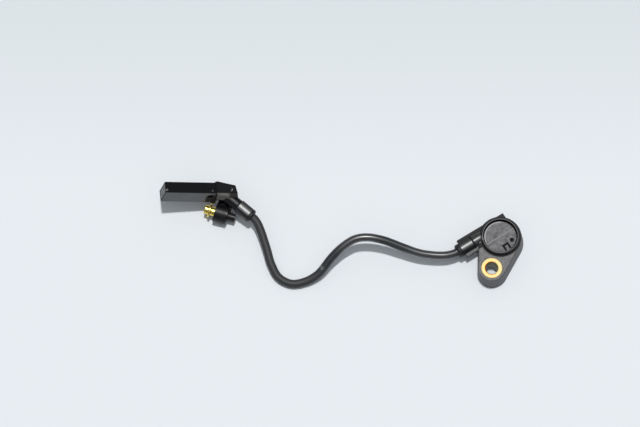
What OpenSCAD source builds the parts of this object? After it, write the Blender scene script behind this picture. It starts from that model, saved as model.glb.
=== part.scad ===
// Crankshaft position sensor: a bar-shaped sensing probe on a carrier block, and a round
// flanged connection head, joined by a short sheathed cable. It lies as it comes to rest:
// the head flat on its seating face, the probe on the side of its fixing boss.
// Millimetres. Origin on the axis of the flange bush, on the seating face, +Z up.

/* [Head] */
// Distance of the rim's axis from the bush axis, across the flange
head_x = 4.8; // [4:0.1:5.6]
// Distance of the rim's axis from the bush axis, along the flange
head_y = 17.4; // [16.6:0.1:18.6]
// Outer radius of the round rim, at its foot
rim_r = 10.6; // [10.4:0.1:11]
// How far the rim's outside leans in, up to its top
rim_lean = 0.7; // [0.2:0.1:0.8]
// Radius of the pocket for the lid
pocket_r = 9.2; // [9.1:0.1:9.4]
// Height of the rim above the flange
rim_h = 2.2; // [2:0.1:3]
// Thickness of the flange
flange_h = 10.5; // [10.4:0.1:12]
// Radius of the flange around the bush, at its foot
flange_r = 8; // [7.6:0.1:9]
// Radius of the flange around the rim, at its foot
flange_big_r = 12.2; // [12:0.1:13]
// How far the flange's walls lean in, up to its top
lean = 0.7; // [0.4:0.1:0.9]
// How far the flange's foot lies to the right of its top
foot_shift = 0.7; // [0:0.1:0.8]
// Chamfer on the moulded edges
edge = 0.4; // [0.2:0.1:0.6]
// Radius of the wiring chamber under the lid
chamber_r = 7.7; // [7.4:0.1:7.9]
// Height of the chamber's floor above the seating face
floor_z = 4.5; // [4.2:0.1:4.9]

/* [Flange bush] */
// Outer diameter of the brass bush
bush_d = 11.3; // [10:0.1:12]
// Bore of the brass bush, for an M6 screw
bush_bore = 6.6; // [6.4:0.1:7]
// How far the bush stands proud of the flange
bush_proud = 0.2; // [0.1:0.1:0.5]
// Chamfer at the top of the bore
bush_chamfer = 0.4; // [0.2:0.1:0.6]

/* [Lid] */
// Diameter of the lid
lid_d = 17.1; // [16.8:0.1:17.4]
// Thickness of the lid
lid_t = 2; // [1.6:0.1:2.2]
// How far the lid lies below the rim's top
lid_drop = 1.8; // [1.4:0.1:2]
// Height of the step across the lid
lid_step = 0.3; // [0.1:0.05:0.4]
// Depth of the moulded marks in the lid
mark_depth = 0.9; // [0.3:0.05:1]

/* [Underside] */
// Radius of the contact recess
recess_r = 5.5; // [5:0.1:6.2]
// Depth of the contact recess
recess_h = 3; // [2:0.1:3.3]
// Diameter of the contact pins
pin_d = 1.6; // [1.2:0.1:2]
// Spacing of the contact pins
pin_pitch = 3.2; // [2.8:0.1:3.4]
// Radius of the seat seal's groove, at its middle
seat_seal_r = 7.9; // [7.6:0.1:8.6]
// Thickness of the seat seal's cord
seat_seal_d = 1.4; // [1:0.1:1.8]

/* [Glands] */
// Diameter of both cable sleeves
sleeve_d = 7.5; // [7:0.1:8]
// Visible length of the head's sleeve
head_sleeve_l = 10; // [8:0.5:12]
// Visible length of the probe's sleeve
probe_sleeve_l = 10.2; // [9:0.1:12]
// Diameter of the sleeve's spigot
spigot_d = 5.4; // [5:0.1:5.8]
// Length of the sleeve's spigot
spigot_l = 3; // [2:0.5:4]
// Offset of the head's gland from the rim's axis
gland_off = 5.8; // [5.6:0.1:6.2]
// Height of the head's gland above the seating face
gland_z = 7.7; // [7.4:0.1:7.8]
// Direction of the head's gland, about the rim's axis
gland_turn = 212; // [208:1:216]
// Distance from the rim's axis to the face of the head's gland
gland_face = 13.5; // [13:0.1:14.5]
// Width of the wing plate that carries the head's sleeve
wing_w = 10.5; // [10:0.1:12]
// Thickness of the wing plate
wing_t = 2.2; // [1.6:0.1:3]
// Reach of the wing plate along the sleeve
wing_front = 20.5; // [18:0.5:22]
// Reach of the wing plate behind the rim's axis
wing_back = 8.8; // [8:0.1:10]
// Start of the probe's gland axis, along the probe
exit_along = 4.5; // [4.2:0.1:4.8]
// Height of the probe's gland axis there
exit_up = 0.8; // [0.5:0.1:0.9]
// Distance from there to the face of the probe's gland
exit_face = 11.2; // [10.6:0.1:12]

/* [Probe cover] */
// Length of the cover
cover_l = 27.4; // [24:0.1:34]
// Width of the cover
cover_w = 7.2; // [6.8:0.1:9]
// Height of the cover
cover_h = 8.6; // [8.2:0.1:9]
// Wall of the cover
cover_wall = 1; // [0.8:0.1:1.2]
// Radius of the cover's long edges
cover_round = 0.4; // [0.3:0.1:0.6]
// Rake of the cover's two ends
rake = 12; // [8:0.5:14]
// Length of the snap windows
window_l = 3; // [2:0.1:4]
// Height of the snap windows
window_h = 4.6; // [3:0.1:5]

/* [Carrier block] */
// Length of the block
block_l = 12; // [11:0.1:14]
// How far the lip stands out past the cover
lip = 0.5; // [0.3:0.1:0.8]
// Length of the lip
lip_l = 1.4; // [1:0.1:2]
// How far the back of the block tapers in
block_taper = 2.6; // [1:0.1:3]
// How far the front of the block stands out at its far end
block_flare = 1.4; // [0.8:0.1:2]
// Width of the bevel along the top of the block's front
front_bevel = 1.8; // [1:0.1:2.4]
// Height of the undercut below the block's top
undercut_h = 5; // [4:0.1:6]
// Depth of the undercut from the block's front
undercut_d = 2; // [1:0.1:2.4]
// Diameter of the filling plug
plug_d = 3.2; // [2.4:0.1:3.6]

/* [Fixing lug] */
// Diameter of the boss
boss_d = 10.2; // [9.6:0.1:11]
// Length of the boss
boss_l = 7; // [6.5:0.1:8]
// Turn of the boss against the probe
lug_turn = -20; // [-24:1:-16]
// Distance of the boss in front of the probe axis
lug_front = 7.5; // [7.2:0.1:8]
// Depth of the boss below the probe axis
lug_drop = 9.2; // [8.9:0.1:9.6]
// Distance of the boss along the probe axis
lug_along = 5; // [4.5:0.1:5.5]
// Diameter of the lug bush in the boss
lug_bush_d = 5.8; // [5.4:0.1:6.4]
// Bore of the lug bush, for an M3 screw
lug_bore = 3.4; // [3.2:0.1:3.6]
// Length of the lug bush's neck, from the boss to its collar
lug_neck_l = 2.4; // [1.5:0.1:3]
// Diameter of the lug bush's collar
lug_collar_d = 7.8; // [7:0.1:8.4]
// Thickness of the lug bush's collar
lug_collar_t = 1; // [0.8:0.1:1.6]
// Diameter of the lug bush's neck and nose
lug_nose_d = 5; // [4.6:0.1:5.4]
// Length of the lug bush's nose
lug_nose_l = 2.3; // [1.5:0.1:4]
// Diameter of the boss's tail
tail_d = 4.8; // [4.6:0.1:5.4]
// Length of the boss's tail
tail_l = 4.3; // [3:0.1:5]

/* [Sensing pieces] */
// Side of the square Hall element
hall_side = 3.6; // [3:0.1:4]
// Thickness of the Hall element
hall_t = 1.5; // [1:0.1:2]
// Length of the bias magnet
magnet_l = 4; // [3:0.1:6]
// Width of the bias magnet
magnet_w = 3.6; // [3:0.1:4]
// Width of a lead strip
strip_w = 0.8; // [0.6:0.1:1]
// Thickness of a lead strip
strip_t = 0.4; // [0.3:0.05:0.5]
// Spacing of the lead strips
strip_pitch = 1.5; // [1.45:0.05:1.6]

/* [Cable] */
// Diameter of the cable's jacket
cable_d = 4.5; // [4:0.1:5]
// Depth to which the cable seats in each sleeve
cable_seat = 2; // [1:0.5:3]
// Diameter of a core
core_d = 1.1; // [0.9:0.05:1.2]
// Spacing of the cores in a sleeve
core_pitch = 1.25; // [1.22:0.01:1.3]

/* [Fits and rest] */
// Radial clearance between pieces that fit together
fit = 0.05; // [0.03:0.01:0.1]
// Clearance of the cores in their ways
way_gap = 0.15; // [0.1:0.01:0.16]
// Place of the cover's mouth, from the bush axis to the left
probe_left = 149.3; // [148.8:0.1:149.8]
// Place of the cover's mouth, from the bush axis to the back
probe_rear = 41.8; // [41.4:0.1:42.2]
// Turn of the probe about the upright
probe_yaw = 2.6; // [1.5:0.1:3.5]
// Fall of the probe from its tip to the block
probe_pitch = 11; // [10:0.1:12]
// Lean of the probe away from the front
probe_roll = -17.5; // [-20:0.5:-15]
// Turn of the probe's gland against the probe
exit_turn = -38.5; // [-41:0.5:-36]
// Dip of the probe's gland below the probe axis
exit_dip = 13; // [11:0.5:15]

/* [Hidden] */
$fn = 96;

// Levels and radii of the head
head_h = flange_h + rim_h;
lid_r = lid_d / 2;
lid_top = head_h - lid_drop;
ledge_z = lid_top - lid_t;
lid_seal_r = (pocket_r + lid_r) / 2;
lid_cord_r = (pocket_r - lid_r) / 2 - fit;
pin_low = 0.8;
pin_top = gland_z + 0.9;
pin_shoulder_d = pin_d + 0.8;
pin_shoulder_h = 0.8;

// Sleeves and cores
sleeve_r = sleeve_d / 2;
cable_r = cable_d / 2;
way_r = core_d / 2 + way_gap;
bundle_r = core_pitch + way_r;
bore_end = pin_pitch + 1.6;
lead = [-1, 0, 1];

// Probe frame: x from the tip to the block, y to the back, z up; zero at the cover's mouth
tan_rake = tan(rake);
tip_x = -cover_l;
inner_w = cover_w - 2 * cover_wall;
inner_h = cover_h - 2 * cover_wall;
hall_x = tip_x + cover_wall + hall_side / 2 * tan_rake + fit;
magnet_x = hall_x + hall_t + 0.3;
strip_end = -0.8;
crimp_l = 3;
crimp_d = strip_pitch - 0.06;
wiring_l = 8;
wiring_h = 2.4;
tongue_side = inner_w / 2 - 2 * fit;
tongue_low = inner_h / 2 - 2 * fit;
tongue_top = -strip_t / 2;
block_top = cover_h / 2 + lip;
block_front = cover_w / 2 + lip;
block_back = cover_w / 2 + lip;
under_z = block_top - undercut_h;
bevel_fall = 40;
exit_at = [exit_along, 0, exit_up];
exit_root = 4;
plug_at = [block_l - 2.6, -1.6];
plug_h = 1.2;
lug_at = [lug_along, -lug_front, -lug_drop];
boss_r = boss_d / 2;
boss_stop = 1;

// Turning matrices, and the place of a probe point in the world
function turn_x(a) = [[1, 0, 0], [0, cos(a), -sin(a)], [0, sin(a), cos(a)]];
function turn_y(a) = [[cos(a), 0, sin(a)], [0, 1, 0], [-sin(a), 0, cos(a)]];
function turn_z(a) = [[cos(a), -sin(a), 0], [sin(a), cos(a), 0], [0, 0, 1]];
probe_turn = turn_z(probe_yaw) * turn_y(probe_pitch) * turn_x(probe_roll);
boss_dir = probe_turn * turn_z(lug_turn) * [1, 0, 0];
boss_mid = probe_turn * lug_at;
// The boss lies on the floor along its side, so it sets the probe's height
boss_reach = abs(boss_dir[2]) * boss_l / 2 + boss_r * sqrt(1 - pow(boss_dir[2], 2));
probe_at = [-probe_left, probe_rear, boss_reach - boss_mid[2]];
function in_world(p) = probe_at + probe_turn * p;

// Cable exits: direction and seat of the cable in each sleeve
exit_dir = turn_z(exit_turn) * turn_y(exit_dip) * [1, 0, 0];
exit_side = turn_z(exit_turn) * [0, 1, 0];
probe_seat_s = exit_face + probe_sleeve_l - cable_seat;
cable_start = in_world(exit_at + exit_dir * probe_seat_s);
cable_start_dir = probe_turn * exit_dir;
head_dir = turn_z(gland_turn) * [1, 0, 0];
head_seat_s = gland_face + head_sleeve_l - cable_seat;
function in_head(p) = [head_x, head_y, 0] + turn_z(gland_turn) * p;
cable_end = in_head([head_seat_s, -gland_off, gland_z]);
stub_free = 0.6;
stub_out = cable_seat + stub_free;

// Route of the cable across the floor, between its two straight ends
route = concat(
    [cable_start, cable_start + cable_start_dir * stub_out],
    [[-126.1, 26.9, 8.3], [-124.8, 24.6, 7.9], [-123.2, 20.6, 7.1], [-120.5, 12.4, 5.5],
     [-118.1, 4.3, 4.1], [-114.1, -2.8, 2.7], [-107.4, -6.3, 2.3], [-100, -5.3, 2.7],
     [-92.9, -1.6, 4.5], [-85.4, 6.7, 8.7], [-79.3, 12.1, 11.1], [-73, 15.6, 12.6],
     [-66.4, 16.4, 13], [-57.8, 15, 12.2], [-48.3, 11.8, 10.6], [-38.7, 8.8, 9.1],
     [-33, 8, 8.5], [-28.5, 7.7, 8.2], [-24.8, 7.8, 8], [-21.7, 8.4, 7.8]],
    [cable_end + head_dir * stub_out, cable_end]);

function unit(v) = v / norm(v);
function along(p, i) =
    unit(p[min(i + 1, len(p) - 1)] - p[max(i - 1, 0)]);
function ring(c, t, r, sides) =
    let (side = unit(cross(t, [0, 0, 1])), up = cross(side, t))
    [for (j = [0 : sides - 1])
        c + r * (cos(360 * j / sides) * side + sin(360 * j / sides) * up)];

// A round tube of one radius, swept along a list of points
module tube(path, r, sides) {
    rings = [for (i = [0 : len(path) - 1]) ring(path[i], along(path, i), r, sides)];
    last = (len(path) - 1) * sides;
    walls = [for (i = [0 : len(path) - 2], j = [0 : sides - 1])
        [i * sides + j, i * sides + (j + 1) % sides,
         (i + 1) * sides + (j + 1) % sides, (i + 1) * sides + j]];
    caps = [[for (j = [sides - 1 : -1 : 0]) j], [for (j = [0 : sides - 1]) last + j]];
    polyhedron([for (one = rings) each one], concat(walls, caps), convexity = 6);
}

// Layer of the flange: two cones and all between them, the foot of both shifted to the right
module flange_layer(z, h, low_in, top_in, shift) {
    hull() for (end = [[0, 0, flange_r], [head_x, head_y, flange_big_r]])
        translate([end[0], end[1], z])
            multmatrix([[1, 0, -shift / h, shift], [0, 1, 0, 0], [0, 0, 1, 0]])
                cylinder(r1 = end[2] - low_in, r2 = end[2] - top_in, h = h);
}

// Outline of a rectangle with round corners
module rounded(w, h, r) {
    arc = [for (i = [0 : 6]) i * 15];
    polygon([for (q = [0 : 3], a = arc)
        [(q == 0 || q == 3 ? 1 : -1) * (w / 2 - r) + r * cos(q * 90 + a),
         (q < 2 ? 1 : -1) * (h / 2 - r) + r * sin(q * 90 + a)]]);
}

// Slab across the probe between two raked planes
module raked_slab(x0, x1, h, w) {
    rotate([90, 0, 0]) linear_extrude(w, center = true)
        polygon([[x0 - h / 2 * tan_rake, -h / 2], [x1 - h / 2 * tan_rake, -h / 2],
                 [x1 + h / 2 * tan_rake, h / 2], [x0 + h / 2 * tan_rake, h / 2]]);
}

// Bar of rounded section along the probe, with raked ends
module raked_bar(x0, x1, w, h, r) {
    intersection() {
        translate([x0 - h, 0, 0]) rotate([90, 0, 90]) linear_extrude(x1 - x0 + 2 * h) rounded(w, h, r);
        raked_slab(x0, x1, h + 1, w + 1);
    }
}

module in_probe() { translate(probe_at) rotate([probe_roll, probe_pitch, probe_yaw]) children(); }
module in_lug() { translate(lug_at) rotate([0, 0, lug_turn]) children(); }
module on_lug_axis(x) { in_lug() translate([x, 0, 0]) rotate([0, 90, 0]) children(); }
module on_exit(s) {
    translate(exit_at) rotate([0, exit_dip, exit_turn]) translate([s, 0, 0]) rotate([0, 90, 0]) children();
}
module at_cup() { translate([head_x, head_y, 0]) rotate([0, 0, gland_turn]) children(); }
module on_gland(s) {
    at_cup() translate([s, -gland_off, gland_z]) rotate([0, 90, 0]) children();
}

// Cable sleeve along +Z from its seat: spigot below, neck, body and chamfered mouth
module sleeve(length) {
    neck = 0.8;
    neck_in = 0.45;
    mouth = 0.9;
    spigot_r = spigot_d / 2;
    seat = length - cable_seat;
    rotate_extrude() polygon([
        [bundle_r, -spigot_l], [spigot_r, -spigot_l], [spigot_r, 0], [sleeve_r - neck_in, 0],
        [sleeve_r - neck_in, neck], [sleeve_r, neck], [sleeve_r, length - mouth],
        [sleeve_r - mouth, length], [cable_r + fit, length], [cable_r + fit, seat], [bundle_r, seat]]);
}

// Socket for a sleeve's spigot, and the flat way of the three cores behind it
module sleeve_socket(way) {
    translate([0, 0, -spigot_l]) cylinder(r = spigot_d / 2 + fit, h = spigot_l + sleeve_d);
    translate([0, 0, -way]) linear_extrude(way) {
        square([2 * way_r, 2 * core_pitch], center = true);
        for (k = [-1, 1]) translate([0, k * core_pitch]) circle(way_r);
    }
}

// Wing plate: carries the sleeve on both sides and ends in a corner behind the rim
module wing_plate() {
    at_cup() translate([-wing_back, -gland_off - wing_w / 2, gland_z - wing_t / 2])
        cube([wing_back + wing_front, wing_w, wing_t]);
}

module head_housing() {
    color("#3c3d41") difference() {
        union() {
            flange_layer(0, flange_h - edge, 0, lean, foot_shift);
            flange_layer(flange_h - edge, edge, lean, lean + edge, 0);
            translate([head_x, head_y, flange_h - edge])
                cylinder(r1 = rim_r, r2 = rim_r - rim_lean, h = rim_h + edge);
            on_gland(0) cylinder(d = sleeve_d, h = gland_face);
            wing_plate();
        }
        // Pocket for the lid and its seal, and the wiring chamber under it
        translate([head_x, head_y, ledge_z]) cylinder(r = pocket_r, h = head_h);
        translate([head_x, head_y, floor_z]) cylinder(r = chamber_r, h = head_h);
        // Seat of the flange bush
        translate([0, 0, -1]) cylinder(d = bush_d + 2 * fit, h = flange_h + 2);
        // Room for the sleeve between the wings, its socket and the way of the cores
        on_gland(gland_face) cylinder(r = sleeve_r + fit, h = wing_front);
        on_gland(gland_face) sleeve_socket(gland_face + bore_end);
        // Contact recess, pin holes and seal groove in the seating face
        translate([head_x, head_y, -1]) cylinder(r = recess_r, h = recess_h + 1);
        at_cup() for (k = lead) translate([k * pin_pitch, 0, 0])
            cylinder(d = pin_d + 2 * fit, h = floor_z + 1);
        translate([head_x, head_y, 0]) rotate_extrude()
            translate([seat_seal_r - seat_seal_d / 2 - fit, -1])
                square([seat_seal_d + 2 * fit, seat_seal_d + 1 + fit]);
    }
}

// Lid with a step across its middle, and moulded marks in its lower half
module head_lid() {
    frame = 3.6;
    frame_y = 4.6;
    line = 0.7;
    gate_d = 2.2;
    gate_at = [-4.4, 4.6];
    flat = 7.9;
    color("#77777b") at_cup() translate([0, 0, ledge_z]) difference() {
        cylinder(r = lid_r, h = lid_t);
        // Lower half of the face, in front of the step
        translate([-lid_r, 0, lid_t - lid_step]) cube([2 * lid_r, lid_r, 1]);
        // Three-sided frame, open to the edge
        translate([-frame / 2, frame_y, lid_t - mark_depth]) difference() {
            cube([frame, frame, 1]);
            translate([line, line, -1]) cube([frame - 2 * line, frame, 3]);
        }
        // Round gate mark
        translate([gate_at[0], gate_at[1], lid_t - mark_depth]) difference() {
            cylinder(d = gate_d, h = 1);
            translate([0, 0, -1]) cylinder(d = gate_d - 2 * line, h = 3);
        }
        // Keying flat at the front edge
        rotate([0, 0, -90 - gland_turn]) translate([flat, -lid_r, lid_t - 2 * lid_step])
            cube([lid_r, 2 * lid_r, 1]);
    }
}

module lid_seal() {
    color("#1b1b1c") translate([head_x, head_y, ledge_z + lid_cord_r])
        rotate_extrude() translate([lid_seal_r, 0]) circle(lid_cord_r, $fn = 32);
}

module flange_bush() {
    length = flange_h + bush_proud;
    bore = bush_bore / 2;
    outer = bush_d / 2;
    color("#d9bf6a") rotate_extrude() polygon([
        [bore, 0], [outer, 0], [outer, length - 0.2], [outer - 0.2, length],
        [bore + bush_chamfer, length], [bore, length - bush_chamfer]]);
}

module seat_seal() {
    color("#1b1b1c") translate([head_x, head_y, seat_seal_d / 2])
        rotate_extrude() translate([seat_seal_r, 0]) circle(seat_seal_d / 2, $fn = 24);
}

module contact_pins() {
    color("#c9b37a") at_cup() for (k = lead) translate([k * pin_pitch, 0, 0]) {
        translate([0, 0, pin_low]) cylinder(d = pin_d, h = pin_top - pin_low);
        translate([0, 0, floor_z]) cylinder(d = pin_shoulder_d, h = pin_shoulder_h);
    }
}

// Each core leaves the sleeve and turns in to the side of its pin
module head_cores() {
    corner = 1.1;
    reach = pin_d / 2 + fit;
    color("#7d2f2a") at_cup() for (k = lead) {
        y = -gland_off + k * core_pitch;
        x = k * pin_pitch;
        tube([[head_seat_s, y, gland_z], [x + 2 * corner, y, gland_z], [x + corner, y, gland_z],
              [x + corner * 0.3, y + corner * 0.3, gland_z], [x, y + corner, gland_z],
              [x, y + 2 * corner, gland_z], [x, -reach, gland_z]], core_d / 2, 8);
    }
}

module head_sleeve() { color("#2a2a2c") on_gland(gland_face) sleeve(head_sleeve_l); }

module cable() { color("#343436") tube(route, cable_r, 12); }

module probe_sleeve() { color("#232325") in_probe() on_exit(exit_face) sleeve(probe_sleeve_l); }

// Each core leaves the sleeve and runs on into its crimp
module probe_cores() {
    color("#7d2f2a") in_probe() for (k = lead) {
        from = exit_at + exit_dir * probe_seat_s + exit_side * k * core_pitch;
        turn = exit_at + exit_dir * 1.6 + exit_side * k * core_pitch;
        mouth = [strip_end + crimp_l, k * strip_pitch, 0];
        tube([from, turn + exit_dir, turn, mouth + [0.5, 0, 0], mouth, mouth - [crimp_l - 0.6, 0, 0]],
             core_d / 2, 8);
    }
}

module core_crimps() {
    color("#b9b9b4") in_probe() for (k = lead)
        translate([strip_end, k * strip_pitch, 0]) rotate([0, 90, 0]) difference() {
            cylinder(d = crimp_d, h = crimp_l);
            translate([0, 0, 0.5]) cylinder(d = core_d + 2 * fit, h = crimp_l);
        }
}

module lead_strips() {
    from = hall_x + hall_t;
    color("#c8a070") in_probe() for (k = lead)
        translate([from, k * strip_pitch - strip_w / 2, -strip_t / 2])
            cube([strip_end - from, strip_w, strip_t]);
}

module bias_magnet() {
    color("#8d8d90") in_probe() translate([magnet_x, -magnet_w / 2, -tongue_low + 0.5])
        cube([magnet_l, magnet_w, tongue_top + tongue_low - 0.5 - fit]);
}

module hall_element() {
    color("#202022") in_probe() translate([hall_x, -hall_side / 2, -hall_side / 2])
        cube([hall_t, hall_side, hall_side]);
}

// Tongue inside the cover: carries the element, the magnet and the lead strips
module tongue() {
    difference() {
        raked_slab_box(tip_x + cover_wall + fit, lip_l);
        translate([tip_x - 1, -hall_side / 2 - fit, -hall_side / 2])
            cube([hall_x + hall_t + fit - tip_x + 1, hall_side + 2 * fit, hall_side]);
        translate([magnet_x - fit, -magnet_w / 2 - fit, -tongue_low + 0.5])
            cube([magnet_l + 2 * fit, magnet_w + 2 * fit, tongue_low]);
    }
}

module raked_slab_box(x0, x1) {
    intersection() {
        raked_slab(x0, x1, inner_h, inner_w);
        translate([x0 - inner_h, -tongue_side, -tongue_low])
            cube([x1 - x0 + 2 * inner_h, 2 * tongue_side, tongue_low + tongue_top]);
    }
}

// Snap barbs on both sides of the tongue, which click into the cover's windows
module barbs() {
    deep = cover_wall + 2 * fit - 0.2;
    for (side = [-1, 1]) translate([0, side * (tongue_side + deep / 2), 0])
        intersection() {
            raked_slab(-window_l - 0.3, -0.6 - fit, 2 * block_top, deep);
            translate([-2 * window_l, -deep, -window_h / 2 + fit])
                cube([2 * window_l, 2 * deep, window_h / 2 + tongue_top]);
        }
}

// Upper body of the block, seen from above, cut back under its front
module block_body() {
    difference() {
        intersection() {
            translate([0, 0, -cover_h / 2]) linear_extrude(cover_h / 2 + block_top)
                polygon([[-2, block_back], [lip_l, block_back], [block_l - 0.4, block_back - block_taper],
                         [block_l + 0.6, -block_front - block_flare], [lip_l, -block_front - block_flare / 3],
                         [lip_l, -block_front], [-2, -block_front]]);
            raked_slab(lip_l / 2, block_l + 2, 2 * block_top, 4 * block_front);
        }
        translate([lip_l, -block_front - block_flare - 1, -cover_h])
            cube([block_l + 2, undercut_d + block_flare + 1, cover_h + under_z]);
        // Bevel along the top of the front
        translate([lip_l, front_bevel - block_front - block_flare, block_top]) rotate([bevel_fall, 0, 0])
            translate([0, -2 * block_front, 0]) cube([block_l + 2, 2 * block_front, block_top]);
    }
}

// Arm from the block down to the boss, and the thin rib beside it
module lug_arm() {
    crest = lug_drop - 0.9;
    front = lug_front - 1.6;
    arm_l = boss_l - 0.6;
    rib_x = boss_l / 2 - 0.2;
    rib_t = 1.4;
    in_lug() {
        translate([-arm_l / 2, 0, 0]) rotate([90, 0, 90]) linear_extrude(arm_l)
            polygon([[0.5 * boss_r, 0.8 * boss_r], [front, 0.9 * boss_r], [front, crest],
                     [lug_front + 3, crest - 3], [0.7 * boss_r, -0.68 * boss_r]]);
        translate([rib_x, 0, 0]) rotate([90, 0, 90]) linear_extrude(rib_t)
            polygon([[0.2 * boss_r, 0.75 * boss_r], [front - 0.8, crest],
                     [lug_front + 1, crest - 3], [0.6 * boss_r, 0]]);
    }
}

module probe_block() {
    color("#1c1c1e") in_probe() difference() {
        union() {
            block_body();
            raked_bar(0, lip_l, cover_w + 2 * lip, cover_h + 2 * lip, cover_round);
            tongue();
            barbs();
            on_exit(exit_root) cylinder(d = sleeve_d - 0.9, h = exit_face - exit_root);
            lug_arm();
            on_lug_axis(-boss_l / 2) cylinder(d = boss_d, h = boss_l);
            on_lug_axis(boss_l / 2) cylinder(d = tail_d, h = tail_l);
        }
        // Wiring space behind the mouth of the cover, and the way in from the gland
        translate([strip_end - fit, -tongue_side, -wiring_h / 2])
            cube([wiring_l, 2 * tongue_side, wiring_h]);
        translate([-2, -tongue_side, tongue_top]) cube([4, 2 * tongue_side, strip_t + 0.6]);
        on_exit(exit_face) sleeve_socket(exit_face - 1);
        // Seat of the lug bush, and the screw's way on through the tail
        on_lug_axis(-boss_l / 2 - boss_stop) cylinder(d = lug_bush_d + 2 * fit, h = boss_l);
        on_lug_axis(-boss_l) cylinder(d = lug_bore, h = 3 * boss_l);
        // Seat of the filling plug
        translate([plug_at[0], plug_at[1], block_top - plug_h])
            cylinder(d = plug_d + 2 * fit, h = plug_h + 1);
    }
}

module probe_cover() {
    color("#232326") in_probe() difference() {
        raked_bar(tip_x, 0, cover_w, cover_h, cover_round);
        raked_bar(tip_x + cover_wall, 2, inner_w, inner_h, 0.2);
        // Snap windows through both sides
        intersection() {
            raked_slab(-window_l - 0.6, -0.6, 2 * cover_h, 2 * cover_w);
            translate([-2 * window_l, -cover_w, -window_h / 2]) cube([2 * window_l, 2 * cover_w, window_h]);
        }
    }
}

// Turned bush: nose, collar and neck stand out of the boss, its body is pressed in
module lug_bush() {
    bore = lug_bore / 2;
    seat = boss_l - boss_stop - fit;
    nose = lug_nose_d / 2;
    collar = lug_collar_d / 2;
    body = lug_bush_d / 2;
    back = -lug_neck_l;
    front = back - lug_collar_t;
    tip = front - lug_nose_l;
    turned = 0.3;
    color("#d9bf6a") in_probe() on_lug_axis(-boss_l / 2) rotate_extrude() polygon([
        [bore, tip], [nose - turned, tip], [nose, tip + turned], [nose, front],
        [collar - turned, front], [collar, front + turned], [collar, back], [nose, back],
        [nose, 0], [body, 0], [body, seat], [bore, seat]]);
}

module fill_plug() {
    dimple = 0.5;
    color("#1c1c1e") in_probe() translate([plug_at[0], plug_at[1], block_top - plug_h]) rotate_extrude()
        polygon([[0, 0], [plug_d / 2, 0], [plug_d / 2, plug_h], [plug_d / 2 - 0.35, plug_h + 0.3],
                 [plug_d / 2 - 0.8, plug_h + 0.3], [dimple, plug_h - 0.2], [0, plug_h - 0.2]]);
}

head_housing();
head_lid();
lid_seal();
flange_bush();
seat_seal();
contact_pins();
head_cores();
head_sleeve();
cable();
probe_sleeve();
probe_cores();
core_crimps();
lead_strips();
bias_magnet();
hall_element();
probe_block();
probe_cover();
lug_bush();
fill_plug();
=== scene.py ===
import math

import bmesh
import bpy
import numpy as np
from mathutils import Euler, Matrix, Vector


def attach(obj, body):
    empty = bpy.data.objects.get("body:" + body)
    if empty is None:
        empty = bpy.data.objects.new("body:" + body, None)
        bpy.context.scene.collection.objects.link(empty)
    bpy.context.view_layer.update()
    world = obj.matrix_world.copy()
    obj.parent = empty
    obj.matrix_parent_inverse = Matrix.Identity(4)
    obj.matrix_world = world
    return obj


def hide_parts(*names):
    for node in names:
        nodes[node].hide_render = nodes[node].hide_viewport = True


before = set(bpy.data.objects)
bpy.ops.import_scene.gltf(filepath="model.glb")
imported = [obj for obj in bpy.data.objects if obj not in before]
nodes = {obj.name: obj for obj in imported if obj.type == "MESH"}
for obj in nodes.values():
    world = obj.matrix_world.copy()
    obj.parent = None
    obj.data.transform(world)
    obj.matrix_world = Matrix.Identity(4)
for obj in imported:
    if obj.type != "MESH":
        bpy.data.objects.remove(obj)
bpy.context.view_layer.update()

scene = bpy.context.scene

# Camera: a long lens high above the part and 18 degrees off the plumb line, so that the plan is
# nearly undistorted and only the front walls show.
lens_mm = 225
sensor_mm = 36
look_at = Vector((-0.09187, 0.03405, 0))
camera_rise = math.radians(72)
camera_away = 2.16
camera_data = bpy.data.cameras.new("camera")
camera_data.lens = lens_mm
camera_data.sensor_width = sensor_mm
camera_data.sensor_fit = "HORIZONTAL"
camera_data.clip_end = 20
camera = bpy.data.objects.new("camera", camera_data)
camera.location = look_at + camera_away * Vector((0, -math.cos(camera_rise), math.sin(camera_rise)))
camera.rotation_euler = (math.pi / 2 - camera_rise, 0, 0)
scene.collection.objects.link(camera)
scene.camera = camera
scene.view_settings.view_transform = "Standard"


# Floor and light: a pale paper sweep, painted darker to the back as painted shade, under a small lamp
# almost overhead that leans a little to the back. A weak sky is bright above and dim at the horizon, with
# a soft box in it.
def new_material(name):
    """A material with its Principled shader, ready for node links."""
    material = bpy.data.materials.new(name)
    material.use_nodes = True
    return material, material.node_tree, material.node_tree.nodes["Principled BSDF"]


def add_node(tree, kind, operation=None, **sockets):
    """A node of that kind, with values given by socket name or, as _0, _1 and so on, by place."""
    made = tree.nodes.new("ShaderNode" + kind)
    if operation:
        made.operation = operation
    for key, value in sockets.items():
        slot = int(key[1:]) if key.startswith("_") else key.replace("_", " ")
        if isinstance(value, bpy.types.NodeSocket):
            tree.links.new(value, made.inputs[slot])
        else:
            made.inputs[slot].default_value = value
    return made


def add_mesh(name, points, faces):
    """An object at the origin from an array of points and an array of faces."""
    mesh = bpy.data.meshes.new(name)
    mesh.from_pydata(points.reshape(-1, 3).tolist(), [], [list(map(int, f)) for f in faces])
    mesh.validate()
    made = bpy.data.objects.new(name, mesh)
    scene.collection.objects.link(made)
    return made


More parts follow.
